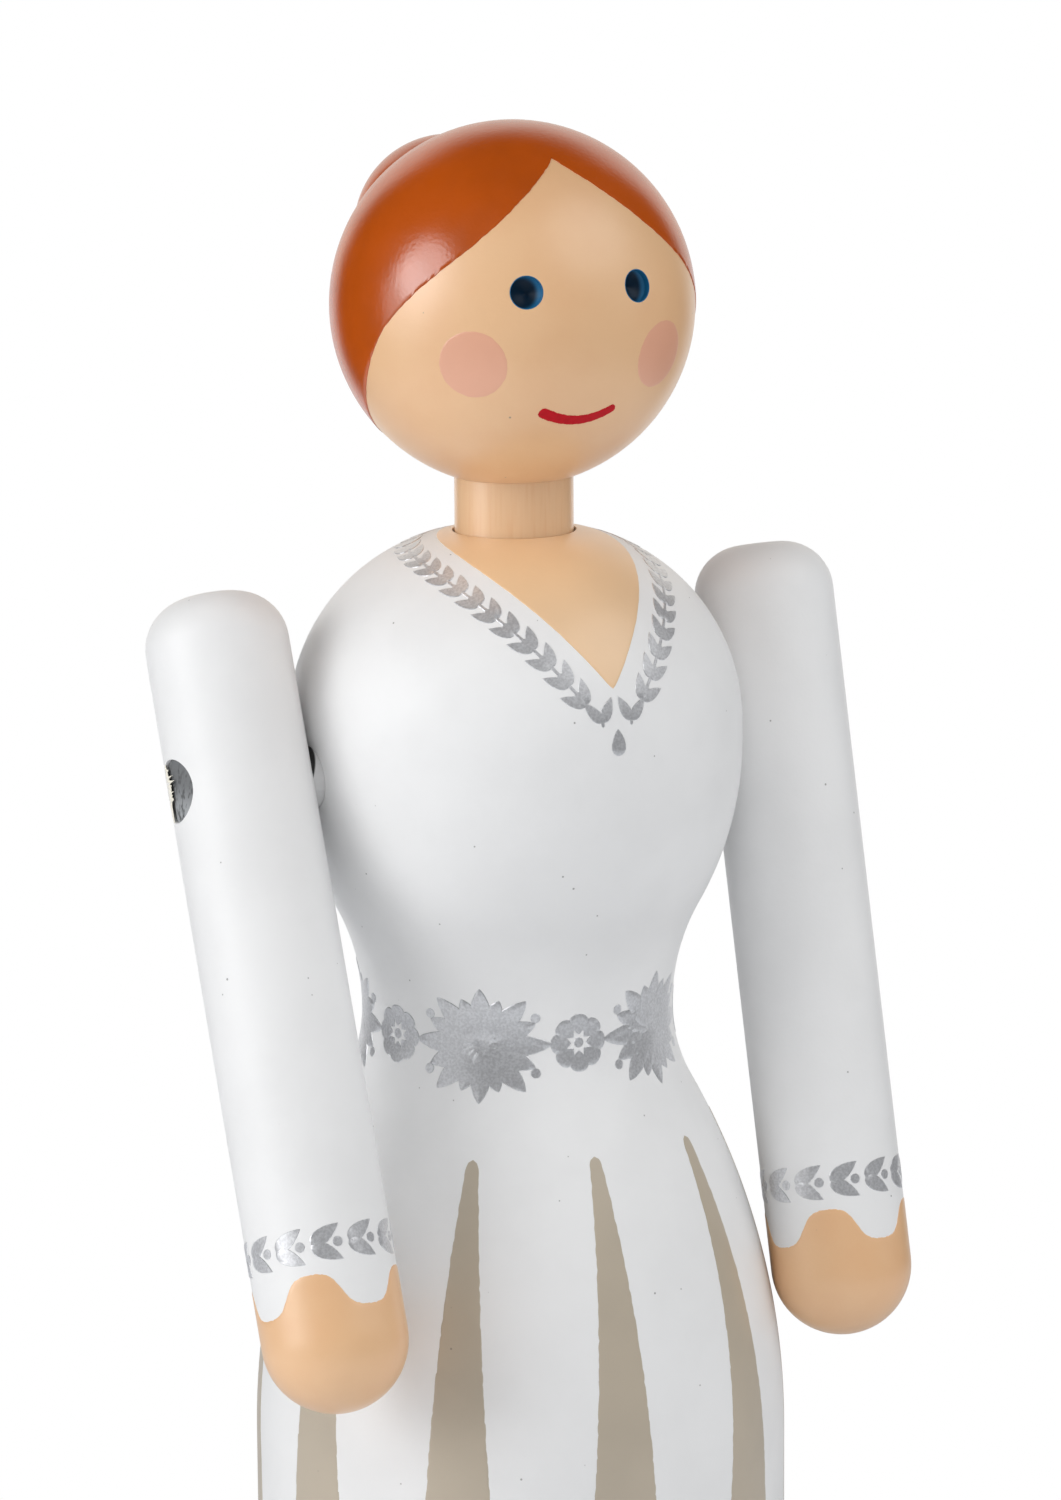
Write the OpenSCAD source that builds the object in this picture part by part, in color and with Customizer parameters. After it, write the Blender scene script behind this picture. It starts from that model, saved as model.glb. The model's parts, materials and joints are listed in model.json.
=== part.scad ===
// Turned wooden bride figure: a one-piece body with chest, waist and bell skirt, a ball head with
// drilled eyes and a ball-shaped hair bun, and two dowel arms that swing on one through axle.
// Millimetres. The figure stands on z = 0, faces -Y, and its own right side is -X.

/* [Body] */
// Diameter of the straight lower part of the skirt
skirt_d = 52.2; // [46:0.1:58]
// Height of the straight lower part of the skirt
skirt_wall_h = 36; // [25:0.5:45]
// Height over which the skirt draws in from its straight part to the waist
flare_h = 42.8; // [32:0.2:54]
// Diameter of the waist
waist_d = 30.3; // [26:0.1:34]
// Radius of the hollow just below the waist
hollow_below_r = 16; // [8:0.5:24]
// Radius of the hollow just above the waist
hollow_above_r = 22; // [12:0.5:28]
// Height from the waist up to the full chest
bodice_h = 26.4; // [22:0.2:32]
// Diameter of the chest
chest_d = 44; // [40:0.1:48]
// Height of the straight band between the chest and the shoulder rounding
chest_band_h = 1.8; // [0.5:0.1:6]
// Radius that rounds the shoulders over to the neck
shoulder_r = 19; // [16:0.5:21.5]
// Radius that eases the hem where the skirt stands
hem_r = 1.4; // [0.5:0.1:4]

/* [Neck] */
// Diameter of the neck dowel
neck_d = 11.5; // [9:0.1:14]
// Length of neck that shows between the body and the head
neck_show = 5.3; // [3:0.1:9]
// Depth of the neck in the body, where it turns
neck_in_body = 15; // [8:0.5:17]
// Depth of the neck glued into the head
neck_in_head = 9; // [6:0.5:12]
// Radial room for the neck to turn in the body
neck_fit = 0.08; // [0.02:0.01:0.1]
// Radial room round the neck in the shallow recess at the mouth of its bore
neck_mouth = 0.24; // [0.1:0.02:0.6]
// Depth of that recess
neck_mouth_h = 1.2; // [0.6:0.1:3]

/* [Head] */
// Diameter of the ball head
head_d = 35; // [30:0.1:40]
// Turn of the head at rest, to the figure's own left when positive
head_turn = -2.5; // [-45:0.5:45]
// Diameter of a drilled eye
eye_d = 3.1; // [2:0.1:5]
// Depth of a drilled eye at its rim
eye_wall = 0.6; // [0.1:0.05:1.2]
// Depth of the dished floor of an eye below its wall
eye_dish = 0.7; // [0.2:0.05:1.2]
// Angle of each eye out from the middle of the face
eye_azimuth = 19.3; // [12:0.1:30]
// Angle of the eyes above the middle of the head
eye_elevation = 10.6; // [0:0.1:25]

/* [Hair bun] */
// Diameter of the ball that the bun is cut from
bun_d = 18.6; // [14:0.1:24]
// Height of that ball's middle above the flat on which the bun sits
bun_lift = 1.4; // [0:0.1:3]
// Angle of the bun above the middle of the head, at the back
bun_elevation = 20; // [0:1:40]
// Diameter of the peg that holds the bun
bun_peg_d = 5; // [3:0.1:7]
// Depth of the peg in the bun
bun_peg_in_bun = 5; // [3:0.5:6]
// Depth of the peg in the head
bun_peg_in_head = 6; // [3:0.5:7]

/* [Arms] */
// Diameter of the arm dowels
arm_d = 13.8; // [12:0.1:15]
// Length of an arm above the axle
arm_above = 18.4; // [12:0.1:24]
// Length from the axle to the middle of the rounded hand
hand_reach = 53.4; // [44:0.1:58]
// Rounding of the shoulder end of an arm
arm_top_r = 4.9; // [2:0.1:5.8]
// Drop of the axle below the top of the body
axle_drop = 22.5; // [20:0.5:30]
// Diameter of the axle
axle_d = 6; // [4:0.1:8]
// Sideways room between an arm and the chest
arm_gap = 0.25; // [0.15:0.05:1]
// Room between the left hand and the skirt, level with the middle of the hand
hand_gap = 0.55; // [0.5:0.05:3]
// Extra lift of the right arm at rest, in front of where the left arm hangs
right_lift = 8; // [0:0.5:90]
// Radial room for an arm to turn on the axle
arm_fit = 0.05; // [0.02:0.01:0.1]
// Depth of the axle's end face below the rim of the arm's bore
axle_inset = 0.3; // [0:0.05:1]

/* [Joinery] */
// Chamfer on the ends of the dowels
dowel_chamfer = 0.4; // [0.2:0.1:0.8]
// Radial room for glue round a fixed dowel
glue_gap = 0.02; // [0.01:0.01:0.05]

/* [Hidden] */
$fn = 96;

white_paint = [0.93, 0.93, 0.92];
silver_paint = [0.62, 0.62, 0.61];
skin_paint = [0.88, 0.70, 0.52];
hair_paint = [0.70, 0.29, 0.02];
bare_wood = [0.84, 0.72, 0.54];

// Straight steps on each arc of an outline
arc_steps = 20;
// Length by which a cutting tool runs past the surface that it cuts
past = 1;

skirt_r = skirt_d / 2;
waist_r = waist_d / 2;
chest_r = chest_d / 2;
neck_r = neck_d / 2;
head_r = head_d / 2;
bun_r = bun_d / 2;
arm_r = arm_d / 2;
axle_r = axle_d / 2;

waist_z = skirt_wall_h + flare_h;
chest_z = waist_z + bodice_h;
shoulder_z = chest_z + chest_band_h;
body_h = shoulder_z + shoulder_r;

// Two tangent arcs carry the outline from one upright tangent to the next. The sum of their radii
// follows from the step in radius and the rise, and so does the angle at which they meet.
function ogee_radii(step, rise) = (step * step + rise * rise) / (2 * step);
flare_radii = ogee_radii(skirt_r - waist_r, flare_h);
flare_angle = asin(flare_h / flare_radii);
flare_r = flare_radii - hollow_below_r;
bodice_radii = ogee_radii(chest_r - waist_r, bodice_h);
bodice_angle = asin(bodice_h / bodice_radii);
bodice_r = bodice_radii - hollow_above_r;

// The neck stands on the flat floor of its bore and carries the head.
neck_seat_z = shoulder_z + sqrt(pow(shoulder_r, 2) - pow(neck_r - chest_r + shoulder_r, 2));
neck_foot_z = neck_seat_z - neck_in_body;
head_z = neck_seat_z + neck_show + sqrt(head_r * head_r - neck_r * neck_r);
neck_l = neck_in_body + neck_show + neck_in_head;

// The bun sits on a flat of the head that is as wide as the bun's own flat.
bun_flat_r = sqrt(bun_r * bun_r - bun_lift * bun_lift);
bun_seat = sqrt(head_r * head_r - bun_flat_r * bun_flat_r);

// The arms just clear the chest, and the left hand just clears the skirt.
axle_z = body_h - axle_drop;
arm_x = chest_r + arm_gap + arm_r;
axle_reach = arm_x + sqrt(arm_r * arm_r - axle_r * axle_r) - axle_inset;

// Radius of the skirt at height z, above its straight part
function skirt_at(z) =
    z < skirt_wall_h ? skirt_r
    : skirt_r - flare_r + sqrt(max(0, flare_r * flare_r - pow(z - skirt_wall_h, 2)));

// Swing at which a hand clears the skirt, found by repeated substitution
function clear_swing(tries) =
    tries == 0 ? 0
    : let (hand_z = axle_z - hand_reach * cos(clear_swing(tries - 1)),
           out = skirt_at(hand_z) + arm_r + hand_gap)
      asin(sqrt(max(0, out * out - arm_x * arm_x)) / hand_reach);
left_swing = clear_swing(8);
right_swing = left_swing + right_lift;

// Points of an arc about [x, z], without its first point, which ends the stretch before it
function arc(x, z, r, from, to, steps = arc_steps) = [
    for (i = [1:steps])
        let (a = from + (to - from) * i / steps)
        [x + r * cos(a), z + r * sin(a)]
];

body_outline = concat(
    [[0, 0], [skirt_r - hem_r, 0]],
    arc(skirt_r - hem_r, hem_r, hem_r, -90, 0, 6),
    [[skirt_r, skirt_wall_h]],
    arc(skirt_r - flare_r, skirt_wall_h, flare_r, 0, flare_angle),
    arc(waist_r + hollow_below_r, waist_z, hollow_below_r, 180 + flare_angle, 180),
    arc(waist_r + hollow_above_r, waist_z, hollow_above_r, 180, 180 - bodice_angle),
    arc(chest_r - bodice_r, chest_z, bodice_r, -bodice_angle, 0),
    [[chest_r, shoulder_z]],
    arc(chest_r - shoulder_r, shoulder_z, shoulder_r, 0, 90),
    [[0, body_h]]
);

arm_outline = concat(
    [[0, -hand_reach - arm_r]],
    arc(0, -hand_reach, arm_r, -90, 0),
    [[arm_r, arm_above - arm_top_r]],
    arc(arm_r - arm_top_r, arm_above - arm_top_r, arm_top_r, 0, 90),
    [[0, arm_above]]
);

bun_outline = concat(
    [[0, 0], [bun_flat_r, 0]],
    arc(0, bun_lift, bun_r, -asin(bun_lift / bun_r), 90)
);

// Dowel with chamfered ends, standing on z = 0
module dowel(d, l) {
    r = d / 2;
    c = dowel_chamfer;
    rotate_extrude() polygon([[0, 0], [r - c, 0], [r, c], [r, l - c], [r - c, l], [0, l]]);
}

// Puts its children in the head's own frame, turned as the head is at rest
module on_head() {
    translate([0, 0, head_z]) rotate([0, 0, head_turn]) children();
}

// Puts its children on the bun's axis, with z = 0 at the flat that the bun sits on
module on_bun_seat() {
    on_head() rotate([bun_elevation - 90, 0, 0]) translate([0, 0, bun_seat]) children();
}

// Tool that drills one eye: a short straight wall with a dished floor, pointing out along +Z
module eye_drill() {
    rim_z = sqrt(head_r * head_r - pow(eye_d / 2, 2)) - eye_wall;
    dish_r = (pow(eye_d / 2, 2) + pow(eye_dish, 2)) / (2 * eye_dish);
    rotate_extrude() polygon(concat(
        [[0, rim_z - eye_dish]],
        arc(0, rim_z - eye_dish + dish_r, dish_r, -90, -90 + asin(eye_d / 2 / dish_r), 8),
        [[eye_d / 2, head_r + past], [0, head_r + past]]
    ));
}

// Arm about its own axle: +Z towards the shoulder end, hand at the lower end
module arm() {
    difference() {
        rotate_extrude() polygon(arm_outline);
        rotate([0, 90, 0]) cylinder(r = axle_r + arm_fit, h = arm_d + 2 * past, center = true);
    }
}

module body() {
    color(white_paint) difference() {
        rotate_extrude() polygon(body_outline);
        translate([0, 0, neck_foot_z])
            cylinder(r = neck_r + neck_fit, h = neck_in_body + shoulder_r);
        translate([0, 0, neck_seat_z - neck_mouth_h])
            cylinder(r = neck_r + neck_mouth, h = neck_mouth_h + shoulder_r);
        translate([0, 0, axle_z]) rotate([0, 90, 0])
            cylinder(r = axle_r + glue_gap, h = chest_d + 2 * past, center = true);
    }
}

module shoulder_axle() {
    color(silver_paint) translate([-axle_reach, 0, axle_z]) rotate([0, 90, 0])
        dowel(axle_d, 2 * axle_reach);
}

module right_arm() {
    color(white_paint) translate([-arm_x, 0, axle_z]) rotate([-right_swing, 0, 0]) arm();
}

module left_arm() {
    color(white_paint) translate([arm_x, 0, axle_z]) rotate([-left_swing, 0, 0]) arm();
}

module neck() {
    color(skin_paint) translate([0, 0, neck_foot_z]) dowel(neck_d, neck_l);
}

module head() {
    color(hair_paint) difference() {
        on_head() sphere(d = head_d);
        translate([0, 0, neck_foot_z]) cylinder(r = neck_r + glue_gap, h = neck_l);
        on_bun_seat() cylinder(r = head_r, h = head_r);
        on_bun_seat() translate([0, 0, -bun_peg_in_head])
            cylinder(r = bun_peg_d / 2 + glue_gap, h = bun_peg_in_head + past);
        for (side = [-1, 1])
            on_head() rotate([90 - eye_elevation, 0, side * eye_azimuth]) eye_drill();
    }
}

module hair_bun() {
    color(hair_paint) difference() {
        on_bun_seat() rotate_extrude() polygon(bun_outline);
        on_bun_seat() translate([0, 0, -past])
            cylinder(r = bun_peg_d / 2 + glue_gap, h = bun_peg_in_bun + past);
    }
}

module bun_peg() {
    color(bare_wood) on_bun_seat() translate([0, 0, -bun_peg_in_head])
        dowel(bun_peg_d, bun_peg_in_head + bun_peg_in_bun);
}

body();
shoulder_axle();
right_arm();
left_arm();
neck();
head();
hair_bun();
bun_peg();
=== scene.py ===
"""Dresses a turned wooden bride figure.

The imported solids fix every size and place. Each visible piece is a turned surface worked out on a grid,
and every painted colour is a thin closed film that lies on the piece which carries it.
"""

import json
import math

import bpy
import numpy as np
from mathutils import Matrix, Vector


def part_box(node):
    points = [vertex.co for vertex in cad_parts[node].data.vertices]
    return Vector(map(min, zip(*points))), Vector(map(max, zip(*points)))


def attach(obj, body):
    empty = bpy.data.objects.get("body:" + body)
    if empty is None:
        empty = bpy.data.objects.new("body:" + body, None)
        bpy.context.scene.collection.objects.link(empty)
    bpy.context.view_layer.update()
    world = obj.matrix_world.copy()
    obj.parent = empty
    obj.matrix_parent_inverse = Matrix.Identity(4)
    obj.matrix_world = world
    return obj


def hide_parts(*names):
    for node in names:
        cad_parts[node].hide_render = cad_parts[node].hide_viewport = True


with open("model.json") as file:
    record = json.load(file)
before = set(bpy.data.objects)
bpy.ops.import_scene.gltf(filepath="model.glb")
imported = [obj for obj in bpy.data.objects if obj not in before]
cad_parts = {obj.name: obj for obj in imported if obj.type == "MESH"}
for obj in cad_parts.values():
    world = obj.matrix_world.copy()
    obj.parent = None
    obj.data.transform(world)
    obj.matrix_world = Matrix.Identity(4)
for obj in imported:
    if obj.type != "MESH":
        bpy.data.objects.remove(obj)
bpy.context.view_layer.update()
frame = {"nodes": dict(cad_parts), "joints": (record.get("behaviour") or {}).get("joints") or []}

bl_info = {
    "name": "Wooden bride figure",
    "version": (1, 0, 0),
    "blender": (4, 5, 0),
    "location": "3D View > Sidebar > Figure",
    "description": "Lacquered wood, painted face and silver ornament of a turned wooden bride figure",
    "category": "Object",
}

MM = 0.001
JOINT_AT = {joint["name"]: Vector(joint["pos_m"]) for joint in frame["joints"]}
HEAD_AT = JOINT_AT["head_turn"]
AXLE_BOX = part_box("shoulder_axle")
NECK_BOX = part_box("neck")
ARM_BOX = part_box("left_arm")
SHOULDER = JOINT_AT["left_arm_swing"].z
SIDES = {"right": -1, "left": 1}
# Lays an upright rod along the shoulder axle
ACROSS = Matrix.Translation((0, 0, SHOULDER)) @ Matrix.Rotation(math.pi / 2, 4, "Y")

# Distance between neighbouring rings of a turned piece, and the number of points round one
RING_STEP = 0.6 * MM
AROUND = 192
# Fewest steps of an arc, and the distance under which two points of an outline are one
ARC_STEPS = 12
SAME_POINT = 1e-9
# How far the lower face of a film of paint lies in the wood, and the width of its rounded edge
SUNK = 0.03 * MM
EDGE = 0.06 * MM
# Edges that turn by more than this are shaded as creases
CREASE = math.radians(32)
# How much further than the piece a drill reaches
PAST = 1.2
# Points round the outline of a leaf and of a berry
LEAF_POINTS = 18
BERRY_POINTS = 14
VARNISH_IOR = 1.65


def screen(red, green, blue):
    """Linear colour of an 8-bit screen colour."""
    share = np.array((red, green, blue)) / 255
    linear = np.where(share <= 0.04045, share / 12.92, ((share + 0.055) / 1.055) ** 2.4)
    return tuple(float(value) for value in linear)


def length(name, description, default):
    """Property for a size in metres."""
    return bpy.props.FloatProperty(
        name=name, description=description, default=default, subtype="DISTANCE", unit="LENGTH", precision=5
    )


def angle(name, description, degrees):
    """Property for an angle, given here in degrees and kept in radians."""
    return bpy.props.FloatProperty(
        name=name, description=description, default=math.radians(degrees), subtype="ANGLE", unit="ROTATION"
    )


def number(name, description, default):
    """Property for a plain number."""
    return bpy.props.FloatProperty(name=name, description=description, default=default, precision=4)


def count(name, description, default):
    """Property for a whole number."""
    return bpy.props.IntProperty(name=name, description=description, default=default, min=1)


def colour(name, description, red, green, blue):
    """Property for a colour, given here as it looks on a screen."""
    return bpy.props.FloatVectorProperty(
        name=name, description=description, default=screen(red, green, blue), size=3, subtype="COLOR",
        min=0.0, max=1.0,
    )


class FigureSizes(bpy.types.PropertyGroup):
    """Sizes of the turned pieces, as in the solids."""

    skirt_radius: length("Skirt radius", "Radius of the upright part of the skirt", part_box("body")[1].x)
    skirt_wall: length("Skirt wall", "Height of the upright part of the skirt", 36 * MM)
    hem_radius: length("Hem radius", "Rounding of the skirt's lower edge", 1.4 * MM)
    flare_height: length("Flare height", "Height from the skirt's upright part to the waist", 42.8 * MM)
    waist_radius: length("Waist radius", "Radius at the waist", 15.15 * MM)
    hollow_below: length("Hollow below", "Radius of the hollow just below the waist", 16 * MM)
    hollow_above: length("Hollow above", "Radius of the hollow just above the waist", 22 * MM)
    bodice_height: length("Bodice height", "Height from the waist to the chest", 26.4 * MM)
    chest_radius: length("Chest radius", "Radius at the chest", 22 * MM)
    chest_band: length("Chest band", "Height of the upright band at the chest", 1.8 * MM)
    shoulder_radius: length("Shoulder radius", "Radius of the arc over the shoulders", 19 * MM)
    neck_radius: length("Neck radius", "Radius of the neck", NECK_BOX[1].x)
    neck_fit: length("Neck fit", "Gap round the neck in the body's bore", 0.08 * MM)
    neck_mouth: length("Neck mouth", "Gap round the neck in the recess at the mouth of its bore", 0.24 * MM)
    neck_mouth_depth: length("Neck mouth depth", "Depth of that recess", 1.2 * MM)
    head_radius: length("Head radius", "Radius of the head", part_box("head")[1].z - HEAD_AT.z)
    head_turn: angle("Head turn", "Turn of the head to its right", -2.5)
    bun_radius: length("Bun radius", "Radius of the hair bun", 9.3 * MM)
    bun_lift: length("Bun lift", "Height of the bun's centre over its flat", 1.4 * MM)
    bun_elevation: angle("Bun elevation", "Height of the bun on the back of the head", 20)
    arm_radius: length("Arm radius", "Radius of an arm", (ARM_BOX[1].x - ARM_BOX[0].x) / 2)
    arm_above: length("Arm above", "Length of an arm above its axle", 18.4 * MM)
    arm_top_radius: length("Arm top radius", "Rounding at an arm's upper end", 4.9 * MM)
    hand_reach: length("Hand reach", "Distance from the axle to the middle of a hand", 53.4 * MM)
    arm_fit: length("Arm fit", "Gap between an arm's bore and the axle", 0.05 * MM)
    axle_radius: length("Axle radius", "Radius of the shoulder axle", (AXLE_BOX[1].z - AXLE_BOX[0].z) / 2)
    dowel_chamfer: length("Dowel chamfer", "Chamfer at the ends of the dowels", 0.4 * MM)


class PaintSizes(bpy.types.PropertyGroup):
    """Sizes and places of the painted marks."""

    coat: length("Coat", "Thickness of a coat of paint", 0.045 * MM)
    bore_sink: length("Bore sink", "Depth of the grey paint under the mouth of a bore", 0.3 * MM)
    hair_peak: angle("Hair peak", "Height of the parting over the brow", 57.6)
    eye_radius: length("Eye radius", "Radius of a drilled eye", 1.55 * MM)
    eye_wall: length("Eye wall", "Depth of the upright wall of an eye", 0.6 * MM)
    eye_dish: length("Eye dish", "Depth of the dished floor of an eye", 0.7 * MM)
    eye_azimuth: angle("Eye azimuth", "Angle from the middle of the face to an eye", 19.3)
    eye_elevation: angle("Eye elevation", "Height of the eyes", 10.6)
    cheek_radius: length("Cheek radius", "Radius of a cheek", 3.28 * MM)
    right_cheek: angle("Right cheek", "Angle from the middle of the face to the right cheek", -36.4)
    left_cheek: angle("Left cheek", "Angle from the middle of the face to the left cheek", 30.9)
    cheek_elevation: angle("Cheek elevation", "Height of the cheeks", -12)
    mouth_width: angle("Mouth width", "Angle from the middle of the mouth to a corner", 14.6)
    mouth_elevation: angle("Mouth elevation", "Height of the middle of the mouth", -32)
    mouth_rise: angle("Mouth rise", "Rise of the corners of the mouth", 4.1)
    mouth_stroke: length("Mouth stroke", "Width of the brush stroke of the mouth", 1.06 * MM)
    collar_radius: length("Collar radius", "Radius of the neckline behind the neck", 7.0 * MM)
    neckline_tip: length("Neckline tip", "Distance of the neckline's point from the axis", 20.8 * MM)
    neckline_spread: angle("Neckline spread", "Angle over which the neckline draws in to the collar", 42)
    neckline_strip: length("Neckline strip", "White strip between skin and silver", 1.7 * MM)
    garland_pitch: length("Garland pitch", "Step from leaf pair to leaf pair at the neckline", 2.3 * MM)
    belt_height: length("Belt height", "Height of the middle of the belt", 78.3 * MM)
    belt_repeats: count("Belt repeats", "Rosettes of each kind round the belt", 5)
    stripe_count: count("Stripes", "Stripes round the skirt", 10)
    stripe_turn: angle("Stripe turn", "Angle from the front to the first stripe", -3.6)
    stripe_top: length("Stripe top", "Height of a stripe's upper end", 67.9 * MM)
    stripe_tip: length("Stripe tip", "Half width of a stripe near its upper end", 0.55 * MM)
    stripe_spread: number("Stripe spread", "Growth of a stripe's half width per length", 0.098)
    stripe_ease: number("Stripe ease", "Loss of that growth per metre", 0.48)
    cuff_height: length("Cuff height", "Place of the silver cuff along an arm, from the axle", -44.8 * MM)
    cuff_repeats: count("Cuff repeats", "Leaf pairs round a cuff", 12)
    sleeve_end: length("Sleeve end", "Mean place of the sleeve's edge, from the axle", -49.2 * MM)
    sleeve_wave: length("Sleeve wave", "Height of the waves of the sleeve's edge", 1.7 * MM)
    sleeve_waves: count("Sleeve waves", "Waves round the sleeve's edge", 4)
    sleeve_turn: angle("Sleeve turn", "Angle from the front to the crest of a wave", -34)


class FigureColours(bpy.types.PropertyGroup):
    """Colours of the finishes."""

    white: colour("White", "Dress lacquer", 240, 240, 240)
    skin: colour("Skin", "Skin lacquer", 243, 194, 143)
    skin_flush: colour("Skin flush", "Warmer patches of the skin lacquer", 240, 187, 135)
    # Paler than the skin colour as painted light on the chest
    chest: colour("Chest", "Skin lacquer of the neckline", 246, 205, 158)
    # Lighter than the skin colour as painted light on the neck
    neck: colour("Neck", "Thin skin lacquer on the neck", 244, 202, 156)
    neck_grain: colour("Neck grain", "Grain of the wood that shows on the neck", 238, 190, 142)
    hair: colour("Hair", "Hair lacquer", 192, 82, 2)
    taupe: colour("Taupe", "Skirt stripes", 191, 178, 158)
    silver: colour("Silver", "Silver paint", 236, 237, 240)
    eye: colour("Eye", "Paint in the drilled eyes", 4, 70, 108)
    lip: colour("Lip", "Mouth paint", 198, 10, 30)
    cheek: colour("Cheek", "Cheek paint", 238, 172, 138)
    speck: colour("Speck", "Dust specks in the lacquer", 92, 88, 82)
    grey: colour("Grey", "Grey paint in the mouths of the arm bores", 128, 130, 132)
    wood: colour("Wood", "Bare wood", 222, 196, 150)
    primer: colour("Primer", "Primer at the ragged edge of a bore's lip", 244, 239, 224)


class StageSettings(bpy.types.PropertyGroup):
    """Camera, lamps, background and floor."""

    lens: number("Lens", "Focal length on a 36 mm film, in millimetres", 148.65)
    distance: length("Distance", "Distance from the camera to the point that it looks at", 601.23 * MM)
    azimuth: angle("Azimuth", "Turn of the camera from the front", -26.324)
    elevation: angle("Elevation", "Height of the camera over the horizon", 11.408)
    roll: angle("Roll", "Roll of the camera", -0.387)
    aim_height: length("Aim height", "Height of the point that the camera looks at", 104.05 * MM)
    aim_side: length("Aim side", "Sideways offset of that point", 1.43 * MM)
    panel_watts: number("Panel", "Power of the broad panel on the left, which gives the sheen", 0.4)
    key_watts: number("Key", "Power of the small light on the left, which gives the hair's highlight", 1.93)
    fill_watts: number("Fill", "Power of the broad light on the right, for the brow's highlight", 1.45)
    low_watts: number("Low", "Power of the low light in front, which gloss does not show", 0.63)
    side_watts: number("Side", "Power of the low light on the right, which gloss does not show", 0.95)
    top_watts: number("Top", "Power of the broad light above, which gloss does not show", 0.81)
    ambient: number("Ambient", "Strength of the even light from all round", 0.37)
    studio: number("Studio", "Strength of the dim studio behind the camera, as gloss shows it", 0.005)
    floor_white: number("Floor white", "Share of plain white in the floor at the figure's foot", 0.4)


def sizes():
    """Sizes of the turned pieces."""
    return bpy.context.scene.figure_sizes


def marks():
    """Sizes and places of the painted marks."""
    return bpy.context.scene.paint_sizes


def colours():
    """Colours of the finishes."""
    return bpy.context.scene.figure_colours


def arc(centre, radius, start, stop):
    """Points along an arc of the given centre (radius, height), from one angle to another in radians."""
    steps = max(ARC_STEPS, math.ceil(abs(radius * (stop - start)) / RING_STEP))
    turn = np.linspace(start, stop, steps + 1)
    return np.column_stack((centre[0] + radius * np.cos(turn), centre[1] + radius * np.sin(turn)))


def joined(*stretches):
    """One outline from stretches that follow each other, without the points that they share."""
    points = np.concatenate(stretches)
    moved = np.hypot(*np.diff(points, axis=0).T) > SAME_POINT
    return points[np.concatenate(([True], moved))]


def path(*corners):
    """Evenly spaced points along straight lines from corner to corner, each (radius, height)."""
    lines = []
    for start, stop in zip(corners, corners[1:]):
        steps = max(1, math.ceil(math.dist(start, stop) / RING_STEP))
        lines.append(np.linspace(start, stop, steps + 1))
    return joined(*lines)


def ogee(step, rise, hollow):
    """Radius of the bulge, and the turn, of two tangent arcs that step out over a rise.

    The radii of bulge and hollow add up to (step² + rise²) / 2 step, and the sine of the turn is the
    rise over that sum.
    """
    radii = (step * step + rise * rise) / (2 * step)
    return radii - hollow, math.asin(rise / radii)


def smooth_through(knots, value):
    """Cubic Hermite curve through knots (x, y), with the slope at a knot taken from its neighbours."""
    x, y = np.array(knots, float).T
    slope = np.gradient(y, x)
    i = np.clip(np.searchsorted(x, value) - 1, 0, len(x) - 2)
    gap = x[i + 1] - x[i]
    t = (value - x[i]) / gap
    start = (1 + 2 * t) * (1 - t) ** 2 * y[i] + t * (1 - t) ** 2 * gap * slope[i]
    return start + t * t * (3 - 2 * t) * y[i + 1] + t * t * (t - 1) * gap * slope[i + 1]


def wander(turn, waves, amount, seed):
    """Unsteadiness of a brushed edge: a sum of sines with drawn phases, which closes if waves are whole."""
    phase = np.random.default_rng(seed).uniform(0, 2 * np.pi, len(waves))
    return amount * np.sin(np.multiply.outer(turn, waves) + phase).sum(axis=-1) / math.sqrt(len(waves))


class Turned:
    """A turned surface: an outline carried round an axis.

    The point at azimuth a and run s, the distance along the outline from its lower end, is
    (r(s) sin a, -r(s) cos a, z(s)), moved out along the outline's normal by a lift.
    """

    def __init__(self, outline, place=Matrix.Identity(4)):
        self.outline = outline
        self.run = np.concatenate(([0], np.cumsum(np.hypot(*np.diff(outline, axis=0).T))))
        slope = np.gradient(outline, self.run, axis=0)
        slope /= np.linalg.norm(slope, axis=1, keepdims=True)
        self.out = np.column_stack((slope[:, 1], -slope[:, 0]))
        self.place = np.array(place)

    def radius_at(self, run):
        """Distance from the axis at a run."""
        return np.interp(run, self.run, self.outline[:, 0])

    def run_at(self, height):
        """Run at a height, where the outline only rises."""
        return np.interp(height, self.outline[:, 1], self.run)

    def at(self, azimuth, run, lift=0.0):
        """Points in the figure at azimuths and runs, lifted off the surface."""
        columns = np.column_stack((self.outline, self.out)).T
        radius, height, out, up = (np.interp(run, self.run, column) for column in columns)
        radius = radius + lift * out
        height = height + lift * up
        points = np.stack((radius * np.sin(azimuth), -radius * np.cos(azimuth), height), axis=-1)
        return points @ self.place[:3, :3].T + self.place[:3, 3]

    def rings(self, around=AROUND):
        """Grid of the whole surface: one ring for each point of the outline."""
        azimuth, run = np.meshgrid(full_turn(around), self.run)
        return self.at(azimuth, run)


def full_turn(steps):
    """Angles once round, without the closing one."""
    return np.linspace(0, 2 * np.pi, steps, endpoint=False)


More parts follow.
